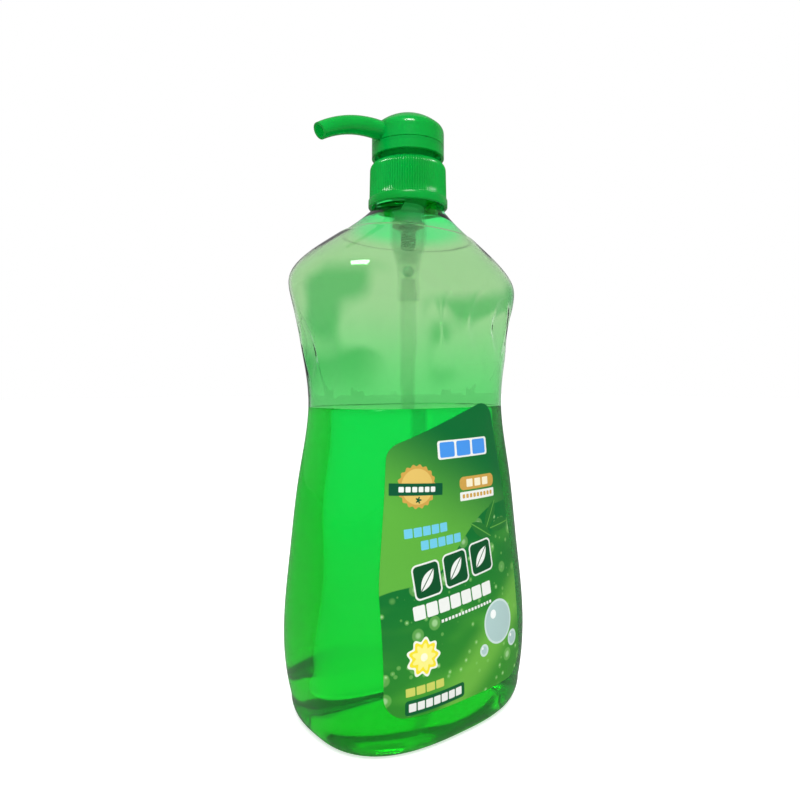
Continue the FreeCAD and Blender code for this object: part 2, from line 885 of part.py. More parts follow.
# Piston's seat, stem and piston.
plate_foot = spring_top + dim("ball_gap")
seat_foot = plate_foot - dim("pilot_length")
seat_plate_top = dim("pilot_length") + dim("seat_plate")
spigot_top = seat_plate_top + dim("spigot_length")
spigot_radius = dim("stem_bore") - dim("press_gap")
piston_seat = turned(
    "piston_seat",
    [
        (dim("seat_hole"), 0),
        (dim("pilot_radius"), 0),
        (dim("pilot_radius"), dim("pilot_length")),
        (dim("seat_plate_radius"), dim("pilot_length")),
        (dim("seat_plate_radius"), seat_plate_top),
        (spigot_radius, seat_plate_top),
        (spigot_radius, spigot_top - dim("press_gap")),
        (dim("seat_hole") + dim("seat_mouth"), spigot_top),
        (dim("seat_hole"), spigot_top - dim("seat_mouth")),
    ],
    seat_foot,
)
outlet_apex = seat_foot + spigot_top - dim("seat_mouth") - dim("seat_hole")
outlet_centre = outlet_apex + dim("outlet_ball_radius") * ROOT_TWO + dim("ball_gap")
outlet_ball = lift(add("Part::Sphere", "outlet_ball", Radius=dim("outlet_ball_radius")), outlet_centre)

stem_foot = seat_foot + seat_plate_top
collar_top = dim("stem_collar_rise") + dim("stem_collar_height")
stem = turned(
    "stem",
    [
        (dim("stem_bore"), 0),
        (dim("stem_radius"), 0),
        (dim("stem_radius"), dim("stem_collar_rise")),
        (dim("stem_collar_radius"), dim("stem_collar_rise")),
        (dim("stem_collar_radius"), collar_top),
        (dim("stem_radius"), collar_top),
        (dim("stem_radius"), dim("stem_length")),
        (dim("stem_bore"), dim("stem_length")),
    ],
    stem_foot,
)
stem_top = stem_foot + dim("stem_length")

lip_radius = housing_bore - dim("slide_fit")
piston_bore = dim("stem_radius") + dim("slide_fit")
lip = dim("piston_lip")
piston = turned(
    "piston",
    [
        (piston_bore, 0),
        (lip_radius, 0),
        (lip_radius, lip),
        (dim("piston_waist"), lip * 2),
        (dim("piston_waist"), dim("piston_height") - lip * 2),
        (lip_radius, dim("piston_height") - lip),
        (lip_radius, dim("piston_height")),
        (piston_bore, dim("piston_height")),
    ],
    stem_foot + dim("seat_gap"),
)

# Pump head: domed cap with a central tube and a curved spout, all one moulding.
head_radius = dim("head_radius")
inner_radius = head_radius - dim("head_wall")
apex = dim("head_side") + dim("head_dome")
dome_outside = turned(
    "dome_outside",
    [(0, 0), (head_radius, 0), (head_radius, dim("head_side")), (0, apex)],
    head_rim,
    arcs=(2,),
)
rounded(dome_outside, dim("head_rounding"), head_radius, dim("head_side"))
dome_inside = turned(
    "dome_inside",
    [
        (0, 0),
        (inner_radius, 0),
        (inner_radius, dim("head_side") - dim("head_wall")),
        (0, apex - dim("head_wall")),
    ],
    head_rim,
    arcs=(2,),
)
tube_start = head_rim - dim("head_tube_drop")
tube_height = dim("head_tube_drop") + apex - dim("head_wall")
head_tube = cylinder("head_tube", head_tube_radius, tube_height, tube_start)
spout_height = head_rim + dim("spout_radius") + dim("press_gap")


def spout_limb(name, root, tip):
    """A straight run from the axis and a bend that tapers from root to tip radius."""
    limb = add("Part::Cylinder", name + "_run", Radius=root, Height=dim("spout_straight"))
    limb.Placement.Rotation = Rotation(Vector(0, 1, 0), -90)
    lift(limb, spout_height)
    angle = "Sizes.spout_drop_angle * 1 deg"
    spine = add("Part::Circle", name + "_spine", Radius=dim("spout_bend"))
    spine.Angle1 = 0
    spine.setExpression("Angle2", "Sizes.spout_drop_angle")
    # The circle's own X axis points up, so that the arc starts at the top and runs towards -X.
    spine.Placement = Placement(Vector(0, 0, 0), Rotation(Vector(0, 0, 1), Vector(-1, 0, 0), Vector(0, -1, 0)))
    lift(spine, spout_height - dim("spout_bend"), dim("spout_straight") * -1)
    near = add("Part::Circle", name + "_near", Radius=root)
    near.Placement.Rotation = Rotation(Vector(0, 1, 0), -90)
    lift(near, spout_height, dim("spout_straight") * -1)
    far = add("Part::Circle", name + "_far", Radius=tip)
    # Turned about -Y, so that a larger angle tips the end ring further down.
    far.Placement.Rotation = Rotation(Vector(0, -1, 0), 90)
    far.setExpression("Placement.Rotation.Angle", "90 deg + %s" % angle)
    far.setExpression("Placement.Base.x", "-Sizes.spout_straight - Sizes.spout_bend * sin(%s)" % angle)
    far.setExpression("Placement.Base.z", "%s - Sizes.spout_bend * (1 - cos(%s))" % (spout_height.text, angle))
    sweep = doc.addObject("Part::Sweep", name + "_bend")
    sweep.Sections = [near, far]
    sweep.Spine = (spine, ["Edge1"])
    sweep.Solid = True
    sweep.Frenet = False
    return limb, sweep


outer_run, outer_bend = spout_limb("spout", dim("spout_radius"), dim("spout_tip_radius"))
bore_run, bore_bend = spout_limb("spout_bore", dim("spout_bore"), dim("spout_tip_bore"))
duct = add("Part::Cylinder", "spout_duct", Radius=dim("spout_radius"), Height=dim("spout_straight"))
duct.Placement.Rotation = Rotation(Vector(0, 1, 0), -90)
lift(duct, spout_height)
inner_tube = cylinder("inner_tube", head_tube_radius, tube_height, tube_start)
head_hollow = cut("head_hollow", dome_inside, fused("head_inner_solids", [inner_tube, duct]))
head_body = fused("head_outer_solids", [dome_outside, head_tube, outer_run, outer_bend])
stem_socket = cylinder("stem_socket", head_tube_bore, stem_top - tube_start, tube_start)
chamber = cylinder("head_chamber", dim("chamber_radius"), dim("chamber_height"), stem_top)
passages = fused("head_passages", [head_hollow, stem_socket, chamber, bore_run, bore_bend])
pump_head = cut("pump_head", head_body, passages)

doc.recompute()

PARTS = [
    bottle,
    detergent,
    front_label,
    closure,
    pump_housing,
    gasket,
    chaplet,
    dip_tube,
    inlet_ball,
    ball_retainer,
    spring,
    piston_seat,
    outlet_ball,
    stem,
    piston,
    pump_head,
]
for item in doc.Objects:
    if "Invalid" in item.State or "Error" in item.State:
        raise RuntimeError("%s could not be built: %s" % (item.Name, item.State))
for item in PARTS:
    item.Label = item.Name
    if item.Shape.isNull() or not item.Shape.isValid():
        raise RuntimeError("%s has no valid shape" % item.Label)

os.makedirs("parts", exist_ok=True)
for item in PARTS:
    item.Shape.exportStep(os.path.join("parts", item.Label + ".step"))
    box = item.Shape.BoundBox
    print(
        "%-14s solids %d volume %9.1f  x %7.1f %7.1f  y %7.1f %7.1f  z %7.1f %7.1f"
        % (
            item.Label,
            len(item.Shape.Solids),
            item.Shape.Volume,
            box.XMin,
            box.XMax,
            box.YMin,
            box.YMax,
            box.ZMin,
            box.ZMax,
        )
    )
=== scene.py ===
import json
import math

import bmesh
import bpy
import numpy as np
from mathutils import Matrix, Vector

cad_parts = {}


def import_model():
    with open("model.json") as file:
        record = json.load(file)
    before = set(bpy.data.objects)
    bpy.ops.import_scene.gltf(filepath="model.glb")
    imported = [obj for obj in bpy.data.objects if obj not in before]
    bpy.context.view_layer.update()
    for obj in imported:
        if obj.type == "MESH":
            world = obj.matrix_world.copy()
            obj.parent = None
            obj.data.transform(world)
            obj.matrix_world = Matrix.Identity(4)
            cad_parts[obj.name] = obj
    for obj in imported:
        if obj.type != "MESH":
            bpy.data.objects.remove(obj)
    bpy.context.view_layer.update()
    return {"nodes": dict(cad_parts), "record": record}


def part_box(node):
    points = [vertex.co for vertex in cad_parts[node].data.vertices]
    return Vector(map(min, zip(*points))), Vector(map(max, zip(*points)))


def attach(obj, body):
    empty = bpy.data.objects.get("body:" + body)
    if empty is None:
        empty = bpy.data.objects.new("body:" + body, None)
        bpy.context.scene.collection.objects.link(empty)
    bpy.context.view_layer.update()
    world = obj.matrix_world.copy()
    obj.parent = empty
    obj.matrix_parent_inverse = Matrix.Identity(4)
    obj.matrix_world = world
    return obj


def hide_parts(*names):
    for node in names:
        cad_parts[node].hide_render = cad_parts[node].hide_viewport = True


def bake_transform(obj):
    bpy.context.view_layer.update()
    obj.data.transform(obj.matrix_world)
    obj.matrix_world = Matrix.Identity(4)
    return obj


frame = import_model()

MM = 0.001


# Shading: values in a material's node tree, written as ordinary sums.
class Value:
    """A number or colour in a node tree."""

    def __init__(self, tree, socket):
        self.tree = tree
        self.socket = socket

    def math(self, operation, *others):
        return self.tree.node("ShaderNodeMath", [self, *others], operation=operation)

    def __add__(self, other):
        return self.math("ADD", other)

    __radd__ = __add__

    def __sub__(self, other):
        return self.math("SUBTRACT", other)

    def __rsub__(self, other):
        return (self * -1.0) + other

    def __mul__(self, other):
        return self.math("MULTIPLY", other)

    __rmul__ = __mul__

    def __truediv__(self, other):
        return self.math("DIVIDE", other)

    def __abs__(self):
        return self.math("ABSOLUTE")

    def most(self, other):
        return self.math("MAXIMUM", other)

    def ramp(self, low, high, to_low=0.0, to_high=1.0):
        """A smooth step from to_low at low to to_high at high."""
        sockets = {"Value": self, "From Min": low, "From Max": high, "To Min": to_low, "To Max": to_high}
        return self.tree.node("ShaderNodeMapRange", sockets, interpolation_type="SMOOTHSTEP")


class Tree:
    """A node tree of a material or of the world, filled by node()."""

    def __init__(self, owner):
        owner.use_nodes = True
        self.nodes = owner.node_tree.nodes
        self.links = owner.node_tree.links

    def feed(self, socket, value):
        if isinstance(value, Value):
            self.links.new(value.socket, socket)
        elif isinstance(value, tuple) and len(value) == 3 and socket.type == "RGBA":
            socket.default_value = (*value, 1.0)
        else:
            socket.default_value = value

    def node(self, kind, sockets=(), output=0, **settings):
        made = self.nodes.new(kind)
        for name, setting in settings.items():
            setattr(made, name, setting)
        pairs = sockets.items() if isinstance(sockets, dict) else enumerate(sockets)
        for key, value in pairs:
            self.feed(made.inputs[key], value)
        return Value(self, made.outputs[output])

    def mix(self, share, first, second):
        """Colour first where share is 0 and second where it is 1."""
        sockets = {"Factor": share, 6: first, 7: second}
        return self.node("ShaderNodeMix", sockets, output=2, data_type="RGBA")

    def place(self):
        """X, Y and Z on the piece, in millimetres."""
        spot = self.node("ShaderNodeTexCoord", output="Object")
        return [self.node("ShaderNodeSeparateXYZ", [spot], output=axis) * 1000.0 for axis in range(3)]

    def noise(self, scale, detail=2.0, stretch=(1.0, 1.0, 1.0), output=0):
        spot = self.node("ShaderNodeTexCoord", output="Object")
        moved = self.node("ShaderNodeMapping", {"Vector": spot, "Scale": stretch})
        sockets = {"Vector": moved, "Scale": scale, "Detail": detail}
        return self.node("ShaderNodeTexNoise", sockets, output=output)


def finish(name, bump=None, bump_distance=0.0, **inputs):
    """A material: inputs go to the Principled shader's sockets, and bump is a function of the tree."""
    material = bpy.data.materials.new(name)
    tree = Tree(material)
    shader = tree.nodes["Principled BSDF"]
    for key, value in inputs.items():
        value = value(tree) if callable(value) else value
        tree.feed(shader.inputs[key.replace("_", " ")], value)
    if bump is not None:
        sockets = {"Strength": 1.0, "Distance": bump_distance, "Height": bump(tree)}
        tree.feed(shader.inputs["Normal"], tree.node("ShaderNodeBump", sockets))
    return material


# Bottle: the same sections as the solid's, as (height, width, depth) in millimetres.
SECTIONS = [
    (12.0, 109.2, 83.0),
    (36.0, 117.0, 83.8),
    (76.0, 113.2, 75.8),
    (112.0, 104.4, 70.8),
    (146.0, 95.6, 66.4),
    (170.0, 103.4, 67.8),
    (192.0, 114.2, 68.6),
    (201.0, 116.4, 69.0),
    (209.0, 105.4, 64.4),
    (222.0, 70.0, 50.4),
    (232.0, 43.4, 37.4),
    (238.0, 31.8, 31.8),
]
HEEL_HEIGHT, HEEL_INSET, FOOT_RING, PUSHUP = 12.0, 8.0, 8.0, 5.5
SQUARENESS = 2.7
WAIST, CHEST, LINE, NECK_ROOT = 146.0, 192.0, 222.0, 238.0
LINE_STEP = 0.5
LINE_HEIGHT = 1.6
WALL = 1.0
INNER_FLUTE_SHARE = 0.85
NECK_RADIUS, NECK_BORE = 15.4, 13.7
FOOT_THICKENING = 0.05
NECK_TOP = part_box("bottle")[1].z / MM
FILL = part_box("detergent")[1].z / MM

FLUTES = 18
FLUTE_DEPTH = 1.0
FLUTE_RIDGE = 1.3
FLUTE_ROUNDNESS = 4.0
FLUTE_END = 0.3
FLUTE_SEGMENTS = 16
FLUTE_LEVEL = WAIST + 26.0


def end_slope(levels, sizes):
    """Slope at the first of four points on a cubic."""
    scaled = [level - levels[0] for level in levels]
    return np.polyfit(scaled, sizes, 3)[2]


def spline(levels, sizes):
    """Second derivatives of a cubic spline through the points, with its end slopes from the cubics there."""
    count = len(levels)
    steps = np.diff(levels)
    rises = np.diff(sizes) / steps
    first = end_slope(levels[:4], sizes[:4])
    last = end_slope(levels[:-5:-1], sizes[:-5:-1])
    matrix = np.zeros((count, count))
    right = np.zeros(count)
    matrix[0, :2] = 2 * steps[0], steps[0]
    right[0] = 6 * (rises[0] - first)
    for row in range(1, count - 1):
        matrix[row, row - 1 : row + 2] = steps[row - 1], 2 * (steps[row - 1] + steps[row]), steps[row]
        right[row] = 6 * (rises[row] - rises[row - 1])
    matrix[-1, -2:] = steps[-1], 2 * steps[-1]
    right[-1] = 6 * (last - rises[-1])
    return np.linalg.solve(matrix, right)


LEVELS = np.array([level for level, width, depth in SECTIONS])
HALVES = [np.array([row[column] / 2 for row in SECTIONS]) for column in (1, 2)]
BENDS = [spline(LEVELS, half) for half in HALVES]


def flank(level):
    """Half width and half depth at a level from the heel to the neck's root."""
    low = int(np.clip(np.searchsorted(LEVELS, level) - 1, 0, len(LEVELS) - 2))
    step = LEVELS[low + 1] - LEVELS[low]
    up = (level - LEVELS[low]) / step
    down = 1 - up
    found = []
    for half, bend in zip(HALVES, BENDS):
        straight = down * half[low] + up * half[low + 1]
        curve = ((down**3 - down) * bend[low] + (up**3 - up) * bend[low + 1]) * step * step / 6
        found.append(straight + curve)
    return found


def squareness(level):
    share = min(max((level - CHEST) / (NECK_ROOT - CHEST), 0.0), 1.0)
    return SQUARENESS * (1 - share) + 2.0 * share


def section(half_width, half_depth, power, angle):
    across, along = math.cos(angle), math.sin(angle)
    reach = (abs(across) ** power + abs(along) ** power) ** (-1.0 / power)
    return Vector((half_width * reach * across, half_depth * reach * along, 0.0))


def skin(angle, level):
    return section(*flank(level), squareness(level), angle) + Vector((0, 0, level))


def flute_angles():
    """Angles of the flutes' middles, evenly round the girth from the middle of the front."""
    fine = 720
    turns = [-0.5 * math.pi + 2 * math.pi * step / fine for step in range(fine + 1)]
    trail = [skin(turn, FLUTE_LEVEL) for turn in turns]
    girth = np.concatenate([[0.0], np.cumsum([(b - a).length for a, b in zip(trail, trail[1:])])])
    half = 0.5 * girth[-1] / FLUTES
    return list(np.interp(np.arange(FLUTES) * 2 * half, girth, turns)), half


MIDDLES, HALF_PITCH = flute_angles()
HALF_FLUTE = HALF_PITCH - 0.5 * FLUTE_RIDGE
SHOWN = math.sqrt(1 - ((FLUTE_ROUNDNESS - 0.9) / FLUTE_ROUNDNESS) ** 2)


def flute_reach(middle):
    """Lowest and highest level of the flute whose middle is at this angle."""
    facing = -math.sin(middle)
    share = abs(facing)
    crown = 31.0 * (1 - share) + 52.0 * share
    foot = -1.0 * (1 - share) + 10.0 * share + 0.33 * skin(middle, FLUTE_LEVEL).x * facing
    return WAIST + foot, WAIST + crown


REACHES = [flute_reach(middle) for middle in MIDDLES]


def sunk(number, across, level):
    """How deep a flute is at a place across it (-1 to 1) and a level."""
    low, high = REACHES[number]
    place = (2 * level - low - high) / (high - low)
    if abs(place) >= 1:
        return 0.0
    fullness = (1 - place * place) ** (0.5 if place > 0 else 1.1)
    width = HALF_FLUTE / SHOWN * (FLUTE_END + (1 - FLUTE_END) * fullness)
    aside = abs(across) * HALF_PITCH / width
    if aside >= 1:
        return 0.0
    depth = (FLUTE_DEPTH + FLUTE_END) * fullness - FLUTE_END
    return max(0.0, depth - FLUTE_ROUNDNESS * (1 - math.sqrt(1 - aside * aside)))


def ring_places():
    """Flute number, place across it and angle of each point round the bottle."""
    places = []
    following = MIDDLES[1:] + [MIDDLES[0] + 2 * math.pi]
    ends = [0.5 * (middle + after) for middle, after in zip(MIDDLES, following)]
    for number in range(FLUTES):
        start = ends[number - 1] - (2 * math.pi if number == 0 else 0)
        for step in range(FLUTE_SEGMENTS):
            across = math.sin(0.5 * math.pi * (2 * step / FLUTE_SEGMENTS - 1))
            places.append((number, across, start + (ends[number] - start) * (across + 1) / 2))
    return places


PLACES = ring_places()


def wall_ring(level, inset, flute_share=1.0):
    """Points of the wall at a level, moved inwards by inset and sunk by that share of the flutes."""
    half_width, half_depth = flank(level)
    above, below = flank(min(level + 0.5, NECK_ROOT)), flank(max(level - 0.5, HEEL_HEIGHT))
    slope = 0.5 * sum(a - b for a, b in zip(above, below))
    length = math.hypot(1.0, slope)
    if inset == 0.0:
        above_line = min(max((level - LINE) / LINE_HEIGHT, 0.0), 1.0)
        inset = LINE_STEP * above_line * above_line * (3 - 2 * above_line)
    power = squareness(level)
    points = []
    for number, across, angle in PLACES:
        depth = flute_share * sunk(number, across, level) + inset / length
        point = section(half_width - depth, half_depth - depth, power, angle)
        points.append(point + Vector((0, 0, level + inset * slope / length)))
    return points


def flat_ring(half_width, half_depth, power, level):
    up = Vector((0, 0, level))
    return [section(half_width, half_depth, power, angle) + up for _, _, angle in PLACES]


def base_middle(inset):
    """The top of the pushed-up base, where the wall is a little thicker than at the foot ring."""
    return (0, 0, inset + PUSHUP * (1 + FOOT_THICKENING * inset))


def foot_rings(inset):
    """Rings from near the middle of the pushed-up base to the top of the heel."""
    foot_width, foot_depth = flank(HEEL_HEIGHT)
    edge = HEEL_INSET + FOOT_RING
    rings = []
    for step in range(1, 15):
        turn = 0.5 * math.pi * step / 14
        size = math.sin(turn)
        wide, deep = (foot_width - edge + inset) * size, (foot_depth - edge + inset) * size
        level = inset + PUSHUP * math.cos(turn) * (1 + FOOT_THICKENING * inset)
        rings.append(flat_ring(wide, deep, 2.0, level))
    for step in range(0, 9):
        turn = 0.5 * math.pi * step / 9
        outward, downward = HEEL_HEIGHT * math.sin(turn), HEEL_INSET * math.cos(turn)
        length = math.hypot(outward, downward)
        reach = HEEL_INSET * (1 - math.sin(turn)) + inset * outward / length
        level = HEEL_HEIGHT * (1 - math.cos(turn)) + inset * downward / length
        rings.append(flat_ring(foot_width - reach, foot_depth - reach, SQUARENESS, level))
    return rings


def levels_between(low, high):
    """Levels up the wall: close together where the flutes are and at the shoulder's line."""
    found = list(np.arange(HEEL_HEIGHT, 140.0, 4.0)) + list(np.arange(140.0, 198.0, 1.25))
    found += list(np.arange(199.0, LINE, 1.5)) + [LINE + LINE_HEIGHT * step / 5 for step in range(6)]
    found += list(np.arange(LINE + 3.0, NECK_ROOT, 1.5))
    return [level for level in found if low <= level < high] + [high]


def wrapped(rings, start_point=None, end_point=None, close=False):
    """A grid wrapped round the rings, drawn together at a point at either end, or closed on itself."""
    rows = list(rings)
    if start_point is not None:
        rows.insert(0, [Vector(start_point)] * len(rows[0]))
    if end_point is not None:
        rows.append([Vector(end_point)] * len(rows[0]))
    if close:
        rows.append(rows[0])
    bm = bmesh.new()
    bmesh.ops.create_grid(bm, x_segments=len(rows[0]), y_segments=len(rows) - 1, size=1.0)
    spots = [point for row in rows for point in row + row[:1]]
    for vert, spot in zip(bm.verts, spots):
        vert.co = spot * MM
    bmesh.ops.remove_doubles(bm, verts=bm.verts, dist=0.000001)
    return bm


def closed_tube(rings):
    """A tube through the rings, drawn together in the middle of its first and last."""
    tips = [sum(ring, Vector()) / len(ring) for ring in (rings[0], rings[-1])]
    return wrapped(rings, *tips)


def piece(name, bm, material, body, stands_for=()):
    """The mesh as a smooth object that rides on a body, when the body is given by name."""
    bmesh.ops.recalc_face_normals(bm, faces=bm.faces)
    mesh = bpy.data.meshes.new(name)
    bm.to_mesh(mesh)
    bm.free()
    mesh.shade_smooth()
    made = bpy.data.objects.new(name, mesh)
    bpy.context.scene.collection.objects.link(made)
    made.data.set_sharp_from_angle(angle=math.radians(50.0))
    made.data.materials.append(material)
    if isinstance(body, str):
        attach(made, body)
    else:
        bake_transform(made)
    if stands_for:
        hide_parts(*stands_for)
    return made


def bottle_shell(material):
    """Outer skin, neck, lip and inner skin as one closed shell."""
    inner = foot_rings(WALL)
    inner += [wall_ring(level, WALL, INNER_FLUTE_SHARE) for level in levels_between(HEEL_HEIGHT, 231.0)]
    outer = foot_rings(0.0)
    outer += [wall_ring(level, 0.0) for level in levels_between(HEEL_HEIGHT, NECK_ROOT)]
    bead = [(NECK_RADIUS, 240.4), (16.2, 241.0), (16.4, 241.7), (16.2, 242.4), (NECK_RADIUS, 243.0)]
    lip = [(NECK_RADIUS, NECK_TOP - 0.5), (NECK_RADIUS - 0.4, NECK_TOP)]
    lip += [(NECK_BORE + 0.4, NECK_TOP), (NECK_BORE, NECK_TOP - 0.5), (NECK_BORE, 236.0)]
    neck = [flat_ring(radius, radius, 2.0, level) for radius, level in bead + lip]
    bm = wrapped(outer + neck + inner[::-1], base_middle(0.0), base_middle(WALL))
    return piece("bottle_shell", bm, material, "bottle", ["bottle"])


def neck_thread(material):
    """One and a half turns of rounded thread on the neck."""
    rings = []
    steps = 150
    turns, pitch, start = 1.6, 4.0, 244.6
    for step in range(steps + 1):
        share = step / steps
        angle = 2 * math.pi * turns * share
        height = 1.1 * min(1.0, 12 * min(share, 1 - share) + 0.05)
        centre_level = start + pitch * turns * share
        ring = []
        for corner in range(12):
            turn = 2 * math.pi * corner / 12
            radius = NECK_RADIUS - 0.1 + height * math.cos(turn)
            level = centre_level + 0.9 * math.sin(turn)
            ring.append(Vector((radius * math.cos(angle), radius * math.sin(angle), level)))
        rings.append(ring)
    return piece("neck_thread", closed_tube(rings), material, "bottle")


def liquid(material):
    """The liquid, let a little into the wall, with its edge drawn up where it meets the wall."""
    bite = 0.25
    inset = WALL - bite
    flute_share = INNER_FLUTE_SHARE + 0.1
    rings = foot_rings(inset)
    rings += [wall_ring(level, inset, flute_share) for level in levels_between(HEEL_HEIGHT, FILL - 0.6)]
    wide, deep = flank(FILL)
    for back, drop in ((0.1, 0.3), (0.5, 0.5), (1.2, 0.55), (2.5, 0.7)):
        rings.append(flat_ring(wide - WALL - back, deep - WALL - back, SQUARENESS, FILL - drop))
    rings += [flat_ring(wide * share, deep * share, SQUARENESS, FILL - 0.7) for share in (0.7, 0.4, 0.1)]
    bm = wrapped(rings, base_middle(inset), (0, 0, FILL - 0.7))
    return piece("liquid", bm, material, "bottle", ["detergent"])


# Front label: a film that follows the skin, cut to the solid label's outline.
LABEL_LEFT, LABEL_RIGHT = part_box("front_label")[0].x / MM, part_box("front_label")[1].x / MM
LABEL_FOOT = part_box("front_label")[0].z / MM
LABEL_SIDE = 70.0
LABEL_TOP_LEFT = (-34.2, 126.4)
LABEL_TOP_RIGHT = (23.0, 146.6)
LABEL_CORNERS = [
    (LABEL_LEFT, LABEL_FOOT, 10.0),
    (LABEL_RIGHT, LABEL_FOOT, 10.0),
    (LABEL_RIGHT, LABEL_SIDE, 90.0),
    (*LABEL_TOP_RIGHT, 8.0),
    (*LABEL_TOP_LEFT, 8.0),
    (LABEL_LEFT, LABEL_SIDE, 90.0),
]


def label_outline():
    """Points round the label in (x, z), with its corners rounded."""
    outline = []
    places = [Vector((x, z)) for x, z, rounding in LABEL_CORNERS]
    for number, here in enumerate(places):
        back = (places[number - 1] - here).normalized()
        ahead = (places[(number + 1) % len(places)] - here).normalized()
        half = 0.5 * back.angle(ahead)
        rounding = LABEL_CORNERS[number][2]
        centre = here + (back + ahead).normalized() * (rounding / math.sin(half))
        start = here + back * (rounding / math.tan(half)) - centre
        sweep = math.pi - 2 * half
        for step in range(13):
            turn = sweep * step / 12
            across = start.x * math.cos(turn) - start.y * math.sin(turn)
            up = start.x * math.sin(turn) + start.y * math.cos(turn)
            outline.append(centre + Vector((across, up)))
    return outline


def on_front(x, z, proud):
    """The point of the front skin at x and z, standing proud of it."""
    wide, deep = flank(z)
    power = squareness(z)
    wide, deep = wide + proud, deep + proud
    return Vector((x, -deep * (1 - (abs(x) / wide) ** power) ** (1 / power), z))


def label_film(material):
    """A closed film, gridded so that it follows the skin, then cut to the outline."""
    outline = label_outline()
    centre = sum(outline, Vector((0, 0))) / len(outline)
    spokes = []
    for first, second in zip(outline, outline[1:] + outline[:1]):
        parts = max(1, round((second - first).length / 3.0))
        spokes += [first.lerp(second, part / parts) for part in range(parts)]
    shares = [share / 20 for share in range(20, 0, -1)]
    outer = [[on_front(*(centre.lerp(spot, share)), 0.17) for spot in spokes] for share in shares]
    inner = [[on_front(*(centre.lerp(spot, share)), 0.06) for spot in spokes] for share in shares]
    rings = list(reversed(outer)) + inner
    bm = wrapped(rings, on_front(*centre, 0.17), on_front(*centre, 0.06))
    return piece("label_film", bm, material, "bottle", ["front_label"])


# Closure: a turned shell with ribs that run over its rounded top edge.
RIBS = 96
RIB_DEPTH = 0.4
CLOSURE_FOOT, CLOSURE_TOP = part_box("closure")[0].z / MM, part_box("closure")[1].z / MM
BEAD_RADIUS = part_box("closure")[1].x / MM


def closure_rings():
    """Radius, height and rib share of the closure's outline, from its mouth over the top and back."""
    bead = 3.7
    foot_radius, top_radius, rounding = 18.5, 18.2, 3.5
    hole, plate, bore = 13.3, 1.9, 16.9
    top = CLOSURE_TOP - CLOSURE_FOOT
    rows = [(BEAD_RADIUS - 1.4, 0.0, 0.0), (BEAD_RADIUS - 0.4, 0.0, 0.0)]
    rows += [(BEAD_RADIUS - 0.12, 0.12, 0.0), (BEAD_RADIUS, 0.4, 0.0), (BEAD_RADIUS, bead - 0.4, 0.0)]
    rows += [(BEAD_RADIUS - 0.12, bead - 0.12, 0.0), (BEAD_RADIUS - 0.35, bead, 0.0)]
    rows += [(foot_radius, bead + 0.05, 0.0)]
    side_top = top - rounding
    for step in range(5):
        share = step / 4
        level = bead + 0.3 + (side_top - bead - 0.3) * share
        rows.append((foot_radius + (top_radius - foot_radius) * share, level, 1.0))
    for step in range(1, 9):
        turn = 0.5 * math.pi * step / 8
        fade = 1.0 if step < 7 else (0.5 if step == 7 else 0.0)
        inwards, up = rounding * (1 - math.cos(turn)), rounding * math.sin(turn)
        rows.append((top_radius - inwards, side_top + up, fade))
    rows += [(hole + 0.3, top, 0.0), (hole, top - 0.3, 0.0), (hole, top - plate, 0.0)]
    rows += [(bore, top - plate, 0.0), (bore, bead, 0.0), (BEAD_RADIUS - 1.4, bead - 0.2, 0.0)]
    return rows


def closure_cap(material):
    segments = 8
    wave = [(1 - math.cos(2 * math.pi * step / segments)) / 2 for step in range(segments)]
    rings = []
    for radius, level, share in closure_rings():
        ring = []
        for number in range(RIBS * segments):
            angle = 2 * math.pi * number / (RIBS * segments)
            reach = radius - RIB_DEPTH * share * wave[number % segments] ** 1.5
            ring.append(Vector((reach * math.cos(angle), reach * math.sin(angle), CLOSURE_FOOT + level)))
        rings.append(ring)
    return piece("closure_cap", wrapped(rings, close=True), material, "closure", ["closure"])


def spring_coil(material):
    """Round wire in close turns from the spring's foot to its top, fixed where it is built."""
    foot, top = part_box("spring")[0].z / MM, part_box("spring")[1].z / MM
    wire, radius, turns = 0.45, 3.25, 7.0
    per_turn = 28
    count = int(turns * per_turn)
    rings = []
    for step in range(count + 1):
        angle = 2 * math.pi * step / per_turn
        level = foot + wire + (top - foot - 2 * wire) * step / count
        centre = Vector((radius * math.cos(angle), radius * math.sin(angle), level))
        out, up = Vector((math.cos(angle), math.sin(angle), 0)), Vector((0, 0, 1))
        corners = [2 * math.pi * corner / 10 for corner in range(10)]
        rings.append([centre + wire * (out * math.cos(turn) + up * math.sin(turn)) for turn in corners])
    stretch = ("pump", "piston", (0, 0, foot * MM), (0, 0, top * MM))
    return piece("spring_coil", closed_tube(rings), material, stretch, ["spring"])


# Materials.
def ripples(scale, stretch=(1.0, 1.0, 1.0), detail=1.5):
    return lambda tree: tree.noise(scale, detail, stretch)


def pet_tint(tree):
    """Pale green, deeper above the liquid, with a bright green band under the closure that is painted light
    and dark green swirls at the flanks that are painted refraction of the liquid and label.
    """
    x, _, z = tree.place()
    tint = tree.mix(z.ramp(142.0, 200.0), (0.36, 0.84, 0.42), (0.60, 0.82, 0.55))
    tint = tree.mix(z.ramp(FILL - 4.0, FILL), (0.36, 0.96, 0.50), tint)
    # Painted refraction: dark green swirls on the flanks stand in for the liquid and label bent through the
    # wall.
    painted_refraction_swirl = tree.noise(34.0, 1.0, (1.0, 0.55, 0.8)).ramp(0.45, 0.56)
    refraction_flank_share = abs(x).ramp(30.0, 44.0) * z.ramp(140.0, 165.0) * z.ramp(206.0, 196.0)
    tint = tree.mix(painted_refraction_swirl * refraction_flank_share * 0.65, tint, (0.03, 0.52, 0.13))
    # Painted light: a bright green band under the closure lifts the neck, which the parts inside it leave
    # dark.
    return tree.mix(z.ramp(222.5, 229.0) * 0.85, tint, (0.12, 1.0, 0.40))


